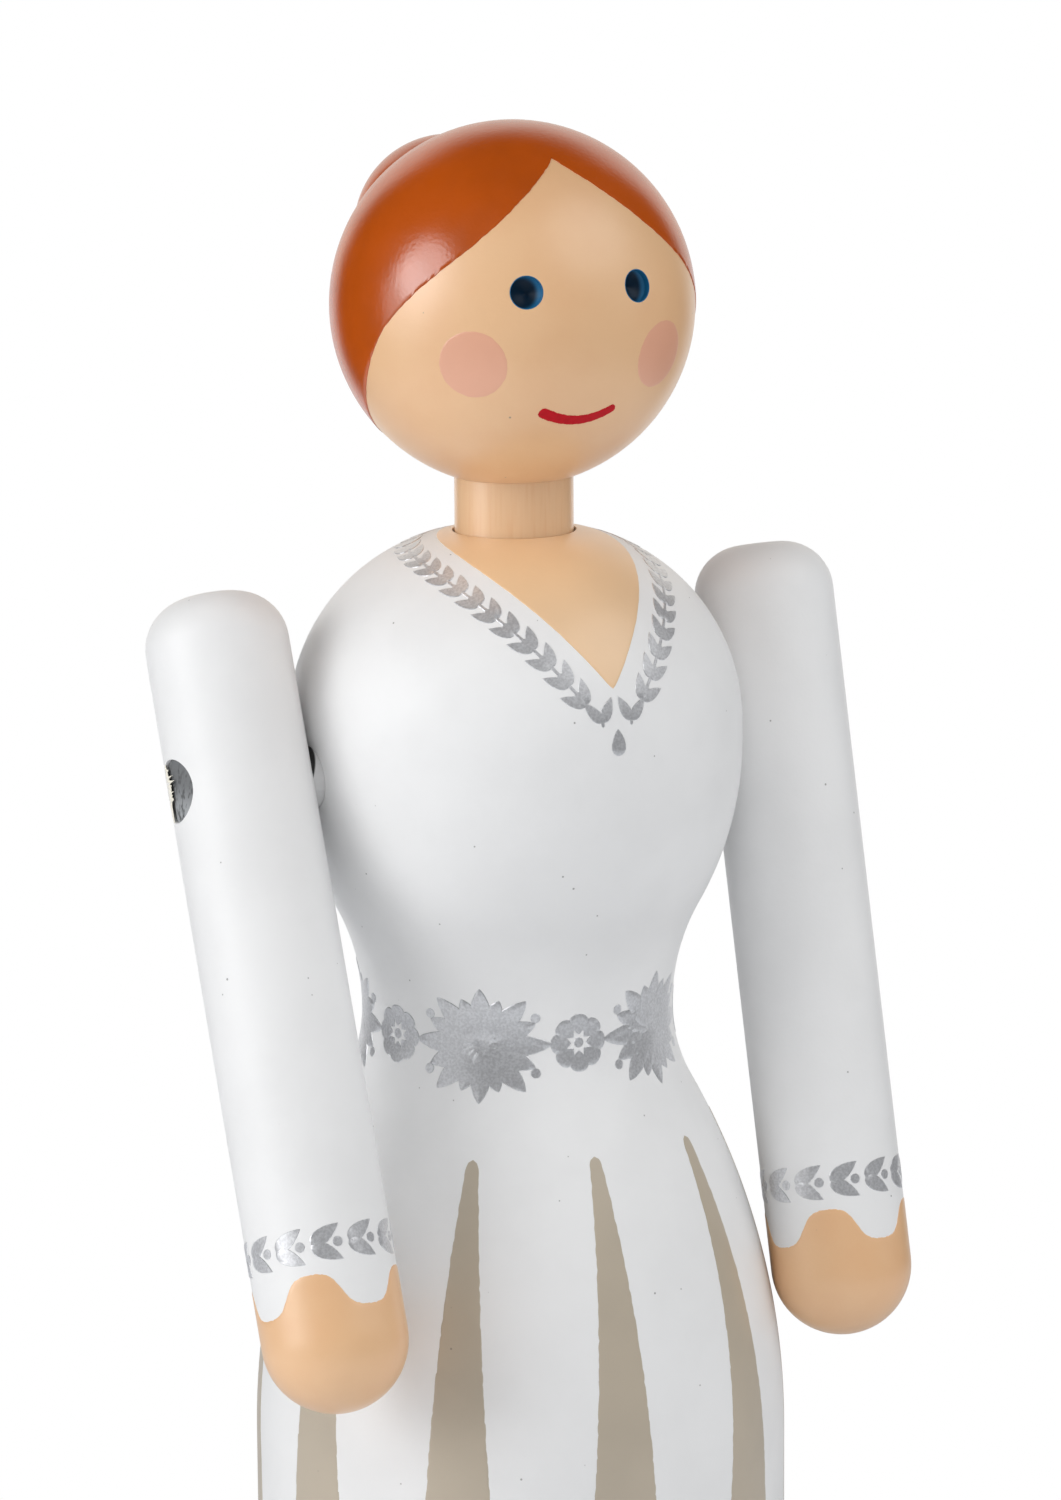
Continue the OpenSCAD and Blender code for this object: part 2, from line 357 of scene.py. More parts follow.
def closed_grid(rings):
    """Points and faces of closed shells from rings[..., i, j]: j wraps, and the end rings become points."""
    number_of_rings, around = rings.shape[-3:-1]
    rings = rings.reshape(-1, number_of_rings, around, 3)
    poles = rings[:, [0, -1]].mean(axis=2)
    middle = rings[:, 1:-1].reshape(len(rings), -1, 3)
    points = np.concatenate((poles[:, :1], middle, poles[:, 1:]), axis=1)
    here = 1 + np.arange(middle.shape[1]).reshape(-1, around)
    beside = np.roll(here, -1, axis=1)
    first, last = np.zeros_like(here[0]), np.full_like(here[0], points.shape[1] - 1)
    quads = np.stack((here[:-1], beside[:-1], beside[1:], here[1:]), axis=-1).reshape(-1, 4)
    caps = np.concatenate((
        np.stack((first, beside[0], here[0]), axis=-1),
        np.stack((here[-1], beside[-1], last), axis=-1),
    ))
    offsets = np.arange(len(rings))[:, None, None] * points.shape[1]
    faces = (quads + offsets).reshape(-1, 4).tolist() + (caps + offsets).reshape(-1, 3).tolist()
    return points.reshape(-1, 3), faces


def ring_grid(rings):
    """Points and faces of a closed ring from rings[i, j]: both i and j wrap."""
    here = np.arange(rings.shape[0] * rings.shape[1]).reshape(rings.shape[:2])
    beside, above = np.roll(here, -1, axis=1), np.roll(here, -1, axis=0)
    quads = np.stack((here, beside, np.roll(beside, -1, axis=0), above), axis=-1)
    return rings.reshape(-1, 3), quads.reshape(-1, 4).tolist()


def together(*shells):
    """Points and faces of several shells as one."""
    points, faces, offset = [], [], 0
    for shell_points, shell_faces in shells:
        points.append(shell_points)
        faces += [[index + offset for index in face] for face in shell_faces]
        offset += len(shell_points)
    return np.concatenate(points), faces


def shape(name, shell):
    """Smooth object of a shell's points and faces."""
    points, faces = shell
    mesh = bpy.data.meshes.new(name)
    mesh.from_pydata(points.tolist(), [], faces)
    mesh.polygons.foreach_set("use_smooth", np.ones(len(faces), bool))
    mesh.set_sharp_from_angle(angle=CREASE)
    piece = bpy.data.objects.new(name, mesh)
    bpy.context.scene.collection.objects.link(piece)
    return piece


def drill(piece, *shells):
    """Cuts closed shells out of a piece and keeps the cut mesh."""
    tools = [shape("tool", shell) for shell in shells]
    for tool in tools:
        cut = piece.modifiers.new("Drill", "BOOLEAN")
        cut.operation = "DIFFERENCE"
        cut.solver = "EXACT"
        cut.object = tool
    graph = bpy.context.evaluated_depsgraph_get()
    mesh = bpy.data.meshes.new_from_object(piece.evaluated_get(graph))
    piece.modifiers.clear()
    piece.data = mesh
    mesh.name = piece.name
    mesh.set_sharp_from_angle(angle=CREASE)
    for tool in tools:
        bpy.data.objects.remove(tool)


def dress(piece, body, slot, *nodes, coat=None):
    """Puts a piece on its body with its finish, in place of the CAD nodes that it stands for.

    The finish has the name of the slot, unless coat names another.
    """
    piece.data.materials.clear()
    piece.data.materials.append(finish(coat or slot))
    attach(piece, body)
    if nodes:
        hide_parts(*nodes)


def film(surface, azimuth, run, lift):
    """Rings of a closed film of paint: a lower face in the wood and an upper one that stands proud.

    Row 0 of run is the film's middle and the last its rim. The rings go anticlockwise, seen from outside.
    """
    lower = surface.at(azimuth, run, -SUNK)
    upper = surface.at(azimuth, run, lift[:, None])
    return np.concatenate((lower, upper[::-1]))


def patch(surface, turn, middle, reach, size, rings, coat):
    """Closed film from the run of its middle out to a rim that lies reach away at each turn.

    Its rings are even steps apart but for the last two, which round the edge of a film of that size.
    """
    share = np.concatenate((np.linspace(0, 1 - 2 * EDGE / size, rings), (1 - EDGE / size, 1)))
    lift = np.concatenate((np.full(rings, coat), (0.75 * coat, 0)))
    return closed_grid(film(surface, turn, middle + share[:, None] * reach, lift))


def section(turn, coat):
    """Lift round the section of a brush stroke: flat above, with a shallow keel in the wood."""
    rise = np.sin(turn)
    return np.where(rise > 0, coat * np.abs(rise) ** 0.3, SUNK * rise)


def stroke(surface, azimuth, run, half_width, coat, across=28):
    """Rings of a closed ribbon of paint along a path on a surface, with the section of a brush stroke."""
    radius = surface.radius_at(run)
    forward = np.column_stack((np.gradient(azimuth) * radius, np.gradient(run)))
    forward /= np.linalg.norm(forward, axis=1, keepdims=True)
    turn = full_turn(across)
    side = half_width[:, None] * np.cos(turn)
    along = run[:, None] + side * forward[:, :1]
    round_axis = azimuth[:, None] - side * forward[:, 1:] / surface.radius_at(along)
    return surface.at(round_axis, along, section(turn, coat))


def lay(surface, flat, azimuth, run, heading):
    """Azimuth and run of copies of a flat shape laid on a surface.

    flat[rings, around] holds (x, y): x points along the heading, which turns from rising azimuth towards
    rising run.
    """
    x, y = flat[..., 0], flat[..., 1]
    azimuth, run, heading = (np.asarray(value, float)[:, None, None] for value in (azimuth, run, heading))
    along = run + x * np.sin(heading) + y * np.cos(heading)
    across = x * np.cos(heading) - y * np.sin(heading)
    return azimuth + across / surface.radius_at(along), along


def leaf(size, width, start=0.0, taper=0.9):
    """Outline of a leaf with a round foot at start and a drawn-out tip.

    With l its size, x = start + l (1 + cos t) / 2 and y = sin t (sin t/2) ^ taper, scaled to its width.
    """
    t = full_turn(LEAF_POINTS)
    bulge = np.sin(t) * np.abs(np.sin(t / 2)) ** taper
    return np.column_stack((start + size * (1 + np.cos(t)) / 2, width / 2 * bulge / bulge.max()))


def petal(size, width, start=0.0):
    """Outline of a petal: a leaf turned round, narrow at its foot and round at its end."""
    x, y = leaf(size, width).T
    return np.column_stack((start + size - x, -y))


def berry(radius):
    """Outline of a round dot."""
    t = full_turn(BERRY_POINTS)
    return radius * np.column_stack((np.cos(t), np.sin(t)))


def ornaments(surface, outline, azimuth, run, heading):
    """Shell of films of one outline. They lie at five heights in turn, so neighbours share no face."""
    coat = marks().coat
    middle = outline.mean(axis=0)
    ring_place = np.array((0, 0.55, 0.93, 1.0))[:, None, None]
    ring_lift = np.array((1, 1, 1, 0))[:, None]
    where = lay(surface, middle + ring_place * (outline - middle), azimuth, run, heading)
    step = 0.15 * coat * (np.arange(len(azimuth)) % 5)
    rise = ring_lift * (coat + step[:, None, None])
    lower = surface.at(*where, -SUNK)
    upper = surface.at(*where, rise)
    return closed_grid(np.concatenate((lower, upper[:, ::-1]), axis=1))


class Wire:
    """A shader socket that can be reckoned with: sums of wires and numbers add Math nodes."""

    def __init__(self, finish, socket):
        self.finish = finish
        self.socket = socket

    def __add__(self, other):
        return self.finish.maths("ADD", self, other)

    def __radd__(self, other):
        return self.finish.maths("ADD", other, self)

    def __sub__(self, other):
        return self.finish.maths("SUBTRACT", self, other)

    def __rsub__(self, other):
        return self.finish.maths("SUBTRACT", other, self)

    def __mul__(self, other):
        return self.finish.maths("MULTIPLY", self, other)

    def __rmul__(self, other):
        return self.finish.maths("MULTIPLY", other, self)


class Finish:
    """Node tree of one finish."""

    def __init__(self, owner):
        owner.use_nodes = True
        self.tree = owner.node_tree
        self.tree.nodes.clear()

    def node(self, kind, settings=None, inputs=None, output=0):
        """Adds a node: first its settings, then the values or wires of its sockets. Gives one output."""
        made = self.tree.nodes.new(f"ShaderNode{kind}")
        for name, value in (settings or {}).items():
            setattr(made, name, value)
        for key, value in (inputs or {}).items():
            if isinstance(value, Wire):
                self.tree.links.new(value.socket, made.inputs[key])
            else:
                made.inputs[key].default_value = value
        return Wire(self, made.outputs[output]) if made.outputs else None

    def maths(self, operation, first, second=0.0):
        """Result of a Math node."""
        return self.node("Math", {"operation": operation}, {0: first, 1: second})

    def vectors(self, operation, first, second=(0, 0, 0), output="Vector"):
        """Result of a Vector Math node."""
        return self.node("VectorMath", {"operation": operation}, {0: first, 1: second}, output)

    def here(self):
        """Place in the figure, in metres."""
        return self.node("TexCoord", output="Object")

    def part(self, axis, place=None):
        """One coordinate of a place, or of the place in the figure."""
        return self.node("SeparateXYZ", {}, {"Vector": place or self.here()}, axis)

    def below_axle(self):
        """Depth below the middle of the shoulder axle."""
        return SHOULDER - self.part("Z")

    def stretched(self, x, y, z):
        """Place with each axis scaled."""
        return self.node("Mapping", {}, {"Vector": self.here(), "Scale": (x, y, z)})

    def noise(self, grain, detail=3.0, place=None):
        """Soft noise with patches of about the given size in metres."""
        where = place or self.here()
        return self.node("TexNoise", {}, {"Vector": where, "Scale": 1 / grain, "Detail": detail})

    def cells(self, spacing, output="Distance"):
        """Distance to the nearest of scattered points, as a share of their spacing, or their colours."""
        return self.node("TexVoronoi", {}, {"Vector": self.here(), "Scale": 1 / spacing}, output)

    def ramp(self, value, low, high):
        """Smooth rise from 0 at low to 1 at high."""
        limits = {"Value": value, "From Min": low, "From Max": high}
        return self.node("MapRange", {"interpolation_type": "SMOOTHSTEP"}, limits)

    def mixed(self, share, first, second):
        """Colour between two colours."""
        first, second = (c if isinstance(c, Wire) else (*c, 1.0) for c in (first, second))
        return self.node("Mix", {"data_type": "RGBA"}, {0: share, 6: first, 7: second}, 2)

    def specks(self, spacing, radius):
        """Mask of small round specks of uneven size."""
        near = self.cells(spacing)
        uneven = self.noise(4 * spacing)
        return 1 - self.ramp(near + 0.06 * uneven, radius / spacing, 1.6 * radius / spacing)

    def bump(self, height, depth):
        """Normal of a relief that is depth metres deep."""
        return self.node("Bump", {}, {"Strength": 1.0, "Distance": depth, "Height": height})

    def ray(self, kind):
        """1 where a ray of that kind meets the surface, 0 for other rays."""
        return self.node("LightPath", output=f"Is {kind} Ray")

    def surface(self, **sockets):
        """Ends the tree in a Principled shader."""
        named = {name.replace("_", " "): value for name, value in sockets.items()}
        shader = self.node("BsdfPrincipled", {}, named)
        self.node("OutputMaterial", {}, {"Surface": shader})


def lacquer(f, coat, patch, gloss, sheen, varnish, relief, specked=True):
    """Sprayed lacquer under a thin varnish: faint patches, dust specks, fine orange peel, uneven gloss."""
    patches = f.ramp(f.noise(9 * MM, 4.0), 0.35, 0.7)
    base = f.mixed(patches, coat, patch)
    if specked:
        base = f.mixed(0.65 * f.specks(2.9 * MM, 0.13 * MM), base, colours().speck)
    peel = f.noise(0.5 * MM, 2.0) + 1.5 * f.noise(3.5 * MM, 1.0)
    f.surface(
        Base_Color=base,
        Roughness=gloss + 0.1 * f.noise(2.2 * MM, 4.0),
        Specular_IOR_Level=sheen,
        Coat_Weight=varnish,
        Coat_Roughness=0.34,
        Coat_IOR=VARNISH_IOR,
        Normal=f.bump(peel, relief),
    )


def white_lacquer(f):
    """Satin white of the dress."""
    white = Vector(colours().white)
    lacquer(f, white, white * 0.965, gloss=0.42, sheen=0.2, varnish=0.2, relief=0.012 * MM)


def skin_lacquer(f):
    """Satin skin colour with warmer patches."""
    c = colours()
    lacquer(f, c.skin, c.skin_flush, gloss=0.48, sheen=1.0, varnish=1.0, relief=0.022 * MM)


def chest_lacquer(f):
    """Skin colour of the neckline, paler than the face's as painted light from above."""
    chest = Vector(colours().chest)
    lacquer(f, chest, chest * 0.96, gloss=0.5, sheen=1.0, varnish=1.0, relief=0.016 * MM)


def cheek_pink(f):
    """Satin pink of the cheeks."""
    cheek = Vector(colours().cheek)
    lacquer(f, cheek, cheek * 0.97, gloss=0.48, sheen=1.0, varnish=1.0, relief=0.022 * MM, specked=False)


def taupe_lacquer(f):
    """Flatter grey-beige paint of the skirt's stripes."""
    taupe = Vector(colours().taupe)
    lacquer(f, taupe, taupe * 0.93, gloss=0.46, sheen=0.8, varnish=0.6, relief=0.012 * MM)


def neck_lacquer(f):
    """Skin lacquer on the neck, lighter than the skin as painted light, through which the upright grain of
    the wood shows.
    """
    c = colours()
    grain = f.noise(0.35 * MM, 5.0, f.stretched(1, 1, 0.06))
    f.surface(
        Base_Color=f.mixed(0.6 * f.ramp(grain, 0.42, 0.75), c.neck, c.neck_grain),
        Roughness=0.46 + 0.12 * grain,
        Specular_IOR_Level=1.0,
        Coat_Weight=1.0,
        Coat_Roughness=0.26,
        Coat_IOR=VARNISH_IOR,
        Normal=f.bump(grain, 0.008 * MM),
    )


def hair_lacquer(f):
    """Glossy brown lacquer with faint patches, orange peel and nibs of dust."""
    hair = Vector(colours().hair)
    peel = f.noise(0.4 * MM, 2.0) + 1.4 * f.noise(3.2 * MM, 1.0)
    nibs = f.specks(2.2 * MM, 0.07 * MM)
    f.surface(
        Base_Color=f.mixed(f.ramp(f.noise(7 * MM, 4.0), 0.3, 0.75), hair, hair * 0.86),
        Roughness=0.19 + 0.07 * f.noise(1.6 * MM, 4.0),
        IOR=1.9,
        Normal=f.bump(peel + 2.0 * nibs, 0.016 * MM),
    )


def silver_paint(f):
    """Silver paint: fine metal flakes that tilt each its own way, with thin and worn places."""
    silver = Vector(colours().silver)
    flakes = f.cells(0.2 * MM, "Color")
    grain = f.noise(0.24 * MM, 2.0)
    worn = f.ramp(f.noise(1.1 * MM, 5.0), 0.6, 0.78)
    f.surface(
        Base_Color=f.mixed(f.ramp(grain, 0.3, 0.75), silver * 0.8, silver),
        Metallic=0.56 - 0.2 * worn,
        Roughness=0.28 + 0.18 * grain,
        Normal=f.bump(grain + 0.4 * flakes, 0.01 * MM),
    )


def brushed(f, tone, dark, gloss, relief):
    """Brushed paint with faint streaks that are darker by the factor dark."""
    streaks = f.noise(0.6 * MM, 4.0)
    f.surface(
        Base_Color=f.mixed(f.ramp(streaks, 0.35, 0.75), tone, tone * dark),
        Roughness=gloss + 0.08 * streaks,
        Specular_IOR_Level=0.2,
        Normal=f.bump(streaks, relief),
    )


def lip_red(f):
    """Satin red of the mouth."""
    brushed(f, Vector(colours().lip), dark=0.85, gloss=0.42, relief=0.012 * MM)


def primer(f):
    """Flat primer that shows where the lacquer ends."""
    brushed(f, Vector(colours().primer), dark=0.9, gloss=0.6, relief=0.01 * MM)


def eye_blue(f):
    """Glossy blue of the eyes, with painted light and shade: dark on the cup's floor as painted shade, and
    lighter up the wall on one side as painted light.
    """
    blue = Vector(colours().eye)
    # Lighter blue for the painted light on the wall
    light = blue * 1.9 + Vector((0.01, 0.03, 0.03))
    radius = sizes().head_radius
    out = f.vectors("DISTANCE", f.here(), HEAD_AT, "Value")
    right, left = ((eye_place(side) @ Vector((0, 0, radius))).x for side in SIDES.values())
    across = f.part("X") - (left + right) / 2
    nearest = f.maths("SIGN", across) * ((left - right) / 2)
    # Slant that puts the painted light on one side of each eye's wall only
    slant = 0.28
    # Share of painted light: 0 deep in the cup, painted as shade, 1 high on the wall on the slanted side
    thin = f.ramp(out - radius + slant * (across - nearest), -0.85 * MM, -0.4 * MM)
    f.surface(
        # Dark blue on the floor as painted shade, lighter blue up the wall as painted light
        Base_Color=f.mixed(thin, blue * 0.3, light),
        Roughness=0.38 + 0.1 * f.noise(0.6 * MM, 4.0),
        Specular_IOR_Level=0.35,
    )


def axle_stain(f):
    """Axle with painted shade: near black as the shade in the gap between arm and body, and white where the
    lacquer of the dress reached it, further out below, dimmed as painted shade.
    """
    c = colours()
    streaks = f.noise(0.5 * MM, 6.0, f.stretched(0.2, 1, 1))
    outward = f.maths("ABSOLUTE", f.part("X"))
    reach = 23.15 * MM
    slant = 0.4
    # Share of white lacquer, which reaches further out below; the rest of the rod is near black as painted
    # shade
    sprayed = f.ramp(reach + slant * f.below_axle() - outward, -0.1 * MM, 0.1 * MM)
    f.surface(
        # Near black stands for the shade in the gap; the white is dimmed to 0.75 as painted shade beside
        # the arm
        Base_Color=f.mixed(sprayed, Vector(c.grey) * 0.02, Vector(c.white) * 0.75),
        Roughness=0.42 + 0.2 * streaks,
        Normal=f.bump(streaks, 0.08 * MM),
    )


def bore_grey(f):
    """Scored grey paint in the mouth of a bore, darker above and lighter below as painted light from the
    floor, and dark along its scores.
    """
    grey = Vector(colours().grey)
    scores = f.noise(0.5 * MM, 6.0, f.stretched(1, 1, 0.6))
    # This share is painted light from below: darker grey above the axle, lighter grey below it
    worn = f.mixed(f.ramp(f.below_axle(), -1.2 * MM, 2.2 * MM), grey * 0.8, grey * 1.75)
    f.surface(
        Base_Color=f.mixed(f.ramp(scores, 0.5, 0.64), worn, grey * 0.5),
        Roughness=0.42 + 0.2 * scores,
        Normal=f.bump(scores, 0.08 * MM),
    )


def bare_wood(f):
    """Bare beech with fine dark flecks along the grain."""
    wood = Vector(colours().wood)
    grain = f.noise(0.4 * MM, 5.0, f.stretched(1, 1, 0.08))
    f.surface(
        Base_Color=f.mixed(f.ramp(grain, 0.4, 0.75), wood, wood * 0.7),
        Roughness=0.6 + 0.15 * grain,
        Normal=f.bump(grain, 0.05 * MM),
    )


FINISHES = (
    white_lacquer, skin_lacquer, chest_lacquer, neck_lacquer, hair_lacquer, taupe_lacquer, cheek_pink,
    lip_red, eye_blue, silver_paint, axle_stain, bore_grey, primer, bare_wood,
)


def finish(name):
    """The finish of that name, made when it is first asked for."""
    material = bpy.data.materials.get(f"finish_{name}")
    if material is None:
        material = bpy.data.materials.new(f"finish_{name}")
        makers = {maker.__name__: maker for maker in FINISHES}
        makers[name](Finish(material))
    return material


def body_outline():
    """Outer outline of the body from the hem to the mouth of the neck's bore, as tangent arcs and lines."""
    s = sizes()
    waist = s.skirt_wall + s.flare_height
    chest = waist + s.bodice_height
    shoulder = chest + s.chest_band
    flare, flare_turn = ogee(s.skirt_radius - s.waist_radius, s.flare_height, s.hollow_below)
    bodice, bodice_turn = ogee(s.chest_radius - s.waist_radius, s.bodice_height, s.hollow_above)
    top_centre = s.chest_radius - s.shoulder_radius
    mouth = math.acos((s.neck_radius + s.neck_mouth - top_centre) / s.shoulder_radius)
    return joined(
        arc((s.skirt_radius - s.hem_radius, s.hem_radius), s.hem_radius, -math.pi / 2, 0),
        path((s.skirt_radius, s.hem_radius), (s.skirt_radius, s.skirt_wall)),
        arc((s.skirt_radius - flare, s.skirt_wall), flare, 0, flare_turn),
        arc((s.waist_radius + s.hollow_below, waist), s.hollow_below, math.pi + flare_turn, math.pi),
        arc((s.waist_radius + s.hollow_above, waist), s.hollow_above, math.pi, math.pi - bodice_turn),
        arc((s.chest_radius - bodice, chest), bodice, -bodice_turn, 0),
        path((s.chest_radius, chest), (s.chest_radius, shoulder)),
        arc((top_centre, shoulder), s.shoulder_radius, 0, mouth),
    )


def body_surface():
    """Outer surface of the body."""
    return Turned(body_outline())


def from_front(azimuth):
    """Angle between an azimuth and the front, from 0 to pi."""
    return np.abs((azimuth + np.pi) % (2 * np.pi) - np.pi)


def neckline_run(surface, azimuth):
    """Run of the edge of the bare neck: its distance from the axis falls from the tip to the collar.

    With a the angle from the front and w the spread, the distance is
    collar + (tip - collar) exp(-(a / w) ^ 1.25).
    """
    p = marks()
    away = from_front(azimuth) / p.neckline_spread
    radius = p.collar_radius + (p.neckline_tip - p.collar_radius) * np.exp(-away ** 1.25)
    lowest = SHOULDER + 4 * MM
    upper = surface.outline[:, 1] > lowest
    return np.interp(-radius, -surface.outline[upper, 0], surface.run[upper])


def arm_place(side):
    """Place of an arm at rest: at its axle, turned so that its axis meets the far end of the hand."""
    pivot = JOINT_AT[f"{side}_arm_swing"]
    node = frame["nodes"][f"{side}_arm"]
    points = np.array([vertex.co for vertex in node.data.vertices]) - np.array(pivot)
    hand = points[np.argmax(np.linalg.norm(points, axis=1))]
    swing = math.atan2(-hand[1], -hand[2])
    return Matrix.Translation(pivot) @ Matrix.Rotation(-swing, 4, "X")


def arm_surface(side):
    """Surface of an arm: a half ball at the hand, a straight sleeve and a rounded upper end."""
    s = sizes()
    inner = s.arm_radius - s.arm_top_radius
    shoulder = s.arm_above - s.arm_top_radius
    outline = joined(
        arc((0, -s.hand_reach), s.arm_radius, -math.pi / 2, 0),
        path((s.arm_radius, -s.hand_reach), (s.arm_radius, shoulder)),
        arc((inner, shoulder), s.arm_top_radius, 0, math.pi / 2),
        path((inner, s.arm_above), (0, s.arm_above)),
    )
    return Turned(outline, arm_place(side))


def pointing(azimuth, elevation):
    """Turn that takes +Z to a direction on the head, given from the middle of the face."""
    turned = Matrix.Rotation(sizes().head_turn + azimuth, 4, "Z")
    return Matrix.Translation(HEAD_AT) @ turned @ Matrix.Rotation(math.pi / 2 - elevation, 4, "X")


def head_surface(place=None):
    """Surface of the head, with its pole on top or where place puts it."""
    ball = arc((0, 0), sizes().head_radius, -math.pi / 2, math.pi / 2)
    ball[[0, -1], 0] = 0
    return Turned(ball, place or pointing(0, math.pi / 2))


def head_run(elevation):
    """Run on the head at an elevation."""
    return sizes().head_radius * (elevation + math.pi / 2)


def bun_seat():
    """Radius of the bun's flat, and its distance from the middle of the head."""
    s = sizes()
    flat = math.sqrt(s.bun_radius ** 2 - s.bun_lift ** 2)
    return flat, math.sqrt(s.head_radius ** 2 - flat ** 2)


def rod(radius, start, stop, place=Matrix.Identity(4), chamfer=0.0):
    """Closed cylinder along z from start to stop, with chamfered ends."""
    outline = path(
        (0, start), (radius - chamfer, start), (radius, start + chamfer),
        (radius, stop - chamfer), (radius - chamfer, stop), (0, stop),
    )
    return closed_grid(Turned(outline, place).rings(around=96))


def axle_bore(place, reach):
    """Drill for the axle through a piece that reaches that far to both sides."""
    s = sizes()
    far = PAST * reach
    return rod(s.axle_radius + s.arm_fit, -far, far, place)


class FIGURE_OT_body(bpy.types.Operator):
    """Turned body with the neck's bore and the cross bore of the axle"""

    bl_idname = "figure.body"
    bl_label = "Body"

    def execute(self, context):
        s = sizes()
        outer = body_outline()
        mouth, top = outer[-1]
        step = top - s.neck_mouth_depth
        bore = s.neck_radius + s.neck_fit
        foot = NECK_BOX[0].z
        inner = path((mouth, top), (mouth, step), (bore, step), (bore, foot), (0, foot))
        outline = joined(path((0, 0), outer[0]), outer, inner)
        piece = shape("body_lacquered", closed_grid(Turned(outline).rings()))
        drill(piece, axle_bore(ACROSS, s.chest_radius))
        dress(piece, "torso", "white_lacquer", "body")
        return {"FINISHED"}


class FIGURE_OT_dowels(bpy.types.Operator):
    """Neck, shoulder axle and the peg of the bun"""

    bl_idname = "figure.dowels"
    bl_label = "Dowels"

    def execute(self, context):
        s = sizes()
        neck = rod(s.neck_radius, NECK_BOX[0].z, NECK_BOX[1].z, chamfer=s.dowel_chamfer)
        dress(shape("neck_turned", neck), "head", "skin_lacquer", "neck", coat="neck_lacquer")
        axle_chamfer = 0.35 * s.dowel_chamfer
        axle = rod(s.axle_radius, AXLE_BOX[0].x, AXLE_BOX[1].x, ACROSS, axle_chamfer)
        dress(shape("axle_rod", axle), "torso", "silver_paint", "shoulder_axle", coat="axle_stain")
        peg = frame["nodes"]["bun_peg"]
        peg.data.materials.clear()
        peg.data.materials.append(finish("bare_wood"))
        return {"FINISHED"}


def bore_fill(surface, outward):
    """Grey paint in the mouth of an arm's bore: a round film that follows the arm, sunk a little under it.

    Ring k has the radius r_k, and its point at the turn t lies r_k sin t across the arm and r_k cos t
    along it. The rings go over the back, round the rim and over the front.
    """
    s = sizes()
    radius = (s.axle_radius + s.arm_fit) * np.array((0, 1, 1, 0.98, 0.75, 0.5, 0.25, 0))[:, None]
    depth = np.array((3, 3, 1.2, 1, 1, 1, 1, 1))[:, None] * marks().bore_sink
    turn = full_turn(64)
    run = surface.run_at(0.0) - outward * radius * np.cos(turn)
    azimuth = outward * (np.pi / 2 + radius * np.sin(turn) / s.arm_radius)
    return closed_grid(surface.at(azimuth, run, -depth))


def bore_lip(surface, outward, start, lean, ragged):
    """Lip of paint that closes the back of an arm's bore on the outside.

    At the height h over the axle it reaches from start back to the bore's edge at sqrt(r² - h²). From a
    little below the axle upwards it leans forward by lean and by the length of its teeth, which are arches
    1 - |sin| of uneven width and of up to about ragged in length.
    """
    s = sizes()
    overlap = 0.1 * MM
    reach = s.axle_radius + s.arm_fit + overlap
    top = math.sqrt(reach ** 2 - start ** 2)
    height = -outward * np.linspace(-top, top, 161)
    below_axle = 1.2
    upper = np.clip(height / MM + below_axle, 0, 1) * (1 - (height / top) ** 2)
    uneven = wander(height / MM, (2.1, 3.3, 4.9, 7.7), 0.5, seed=4)
    teeth = (1 - np.abs(np.sin(5.5 * height / MM + 3 * uneven))) * np.abs(0.5 + 1.4 * uneven)
    inner = start - upper * (lean + ragged * teeth)
    outer = np.sqrt(reach ** 2 - height ** 2)
    turn = full_turn(16)
    across = (outer + inner)[:, None] / 2 + (outer - inner)[:, None] / 2 * np.cos(turn)
    azimuth = outward * (np.pi / 2 + across / s.arm_radius)
    run = (surface.run_at(0.0) + height)[:, None]
    return closed_grid(surface.at(azimuth, run, section(turn, marks().coat)))


class FIGURE_OT_arms(bpy.types.Operator):
    """Both arms, bored for the axle, with grey paint and a ragged lip of lacquer at each bore"""

    bl_idname = "figure.arms"
    bl_label = "Arms"

    def execute(self, context):
        for side, outward in SIDES.items():
            body = f"{side}_arm"
            surface = arm_surface(side)
            arm = shape(f"{side}_arm_lacquered", closed_grid(surface.rings(around=128)))
            across = arm_place(side) @ Matrix.Rotation(math.pi / 2, 4, "Y")
            drill(arm, axle_bore(across, sizes().arm_radius))
            dress(arm, body, "white_lacquer", body)
            fill = bore_fill(surface, outward)
            dress(shape(f"{side}_bore_fill", fill), body, "silver_paint", coat="bore_grey")
            edge = bore_lip(surface, outward, start=1.3 * MM, lean=0.55 * MM, ragged=1.8 * MM)
            dress(shape(f"{side}_bore_primer", edge), body, "bare_wood", coat="primer")
            lip = bore_lip(surface, outward, start=1.4 * MM, lean=0.5 * MM, ragged=0.9 * MM)
            dress(shape(f"{side}_bore_lip", lip), body, "white_lacquer")
        return {"FINISHED"}


class FIGURE_OT_head(bpy.types.Operator):
    """Head with its drilled eyes, the seat of the bun and the neck's socket"""

    bl_idname = "figure.head"
    bl_label = "Head"

    def execute(self, context):
        s = sizes()
        head = shape("head_lacquered", closed_grid(head_surface().rings(around=256)))
        flat, seat = bun_seat()
        drill(
            head,
            rod(s.neck_radius, NECK_BOX[0].z, NECK_BOX[1].z),
            rod(PAST * flat, seat, 2 * s.head_radius, pointing(math.pi, s.bun_elevation)),
            *(eye_tool(side) for side in SIDES.values()),
        )
        dress(head, "head", "skin_lacquer", "head")
        return {"FINISHED"}


